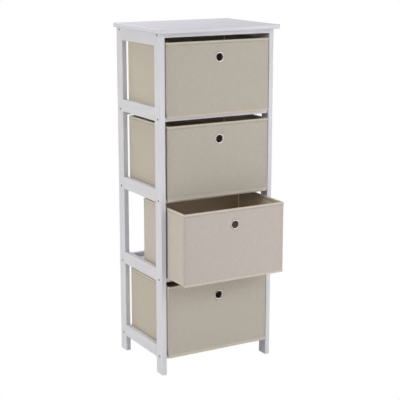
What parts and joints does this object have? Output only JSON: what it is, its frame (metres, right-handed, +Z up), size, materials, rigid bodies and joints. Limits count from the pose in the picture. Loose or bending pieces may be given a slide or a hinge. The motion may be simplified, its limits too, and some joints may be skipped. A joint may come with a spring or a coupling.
{
  "type": "drawer cabinet",
  "caption": "Free-standing white timber storage tower, open on all sides, with fabric box drawers that stand on its shelves and pull out by a round metal eyelet.",
  "frame": {"origin": "on the floor, at the middle of the overall box at rest, with the third drawer from the top pulled out", "axes": "+X to the right seen from the front, +Y towards the back, +Z up; the drawers open along -Y"},
  "size_m": [0.375, 0.364, 0.97],
  "materials": {
    "white_paint": "satin white paint on timber",
    "natural_fabric": "natural linen-look woven cloth",
    "stiffening_board": "raw grey-brown board",
    "eyelet_metal": "bright nickel plate",
    "screw_steel": "dark zinc plate",
    "dowel_wood": "bare beech"
  },
  "bodies": {
    "frame": {"top_panel": "white_paint", "front_left_post": "white_paint", "front_right_post": "white_paint", "rear_left_post": "white_paint", "rear_right_post": "white_paint", "left_side_rail_1": "white_paint", "left_side_rail_2": "white_paint", "left_side_rail_3": "white_paint", "left_side_rail_4": "white_paint", "left_side_rail_5": "white_paint", "right_side_rail_1": "white_paint", "right_side_rail_2": "white_paint", "right_side_rail_3": "white_paint", "right_side_rail_4": "white_paint", "right_side_rail_5": "white_paint", "shelf_1": "white_paint", "rear_rail_1": "white_paint", "shelf_2": "white_paint", "rear_rail_2": "white_paint", "shelf_3": "white_paint", "rear_rail_3": "white_paint", "shelf_4": "white_paint", "rear_rail_4": "white_paint", "top_front_stretcher": "white_paint", "top_rear_stretcher": "white_paint", "frame_screws": "screw_steel", "top_screws": "screw_steel", "wood_dowels": "dowel_wood"},
    "drawer_1": {"drawer_1_fabric_cover": "natural_fabric", "drawer_1_front_board": "stiffening_board", "drawer_1_back_board": "stiffening_board", "drawer_1_left_board": "stiffening_board", "drawer_1_right_board": "stiffening_board", "drawer_1_base_board": "stiffening_board", "drawer_1_eyelet": "eyelet_metal", "drawer_1_eyelet_washer": "eyelet_metal"},
    "drawer_2": {"drawer_2_fabric_cover": "natural_fabric", "drawer_2_front_board": "stiffening_board", "drawer_2_back_board": "stiffening_board", "drawer_2_left_board": "stiffening_board", "drawer_2_right_board": "stiffening_board", "drawer_2_base_board": "stiffening_board", "drawer_2_eyelet": "eyelet_metal", "drawer_2_eyelet_washer": "eyelet_metal"},
    "drawer_3": {"drawer_3_fabric_cover": "natural_fabric", "drawer_3_front_board": "stiffening_board", "drawer_3_back_board": "stiffening_board", "drawer_3_left_board": "stiffening_board", "drawer_3_right_board": "stiffening_board", "drawer_3_base_board": "stiffening_board", "drawer_3_eyelet": "eyelet_metal", "drawer_3_eyelet_washer": "eyelet_metal"},
    "drawer_4": {"drawer_4_fabric_cover": "natural_fabric", "drawer_4_front_board": "stiffening_board", "drawer_4_back_board": "stiffening_board", "drawer_4_left_board": "stiffening_board", "drawer_4_right_board": "stiffening_board", "drawer_4_base_board": "stiffening_board", "drawer_4_eyelet": "eyelet_metal", "drawer_4_eyelet_washer": "eyelet_metal"}
  },
  "joints": [
    {"name": "drawer_1_slide", "type": "slide", "parent": "frame", "child": "drawer_1", "axis": [0, -1, 0], "range_m": [-0.008, 0.16]},
    {"name": "drawer_2_slide", "type": "slide", "parent": "frame", "child": "drawer_2", "axis": [0, -1, 0], "range_m": [-0.008, 0.16]},
    {"name": "drawer_3_slide", "type": "slide", "parent": "frame", "child": "drawer_3", "axis": [0, -1, 0], "range_m": [-0.095, 0.073]},
    {"name": "drawer_4_slide", "type": "slide", "parent": "frame", "child": "drawer_4", "axis": [0, -1, 0], "range_m": [-0.008, 0.16]}
  ]
}
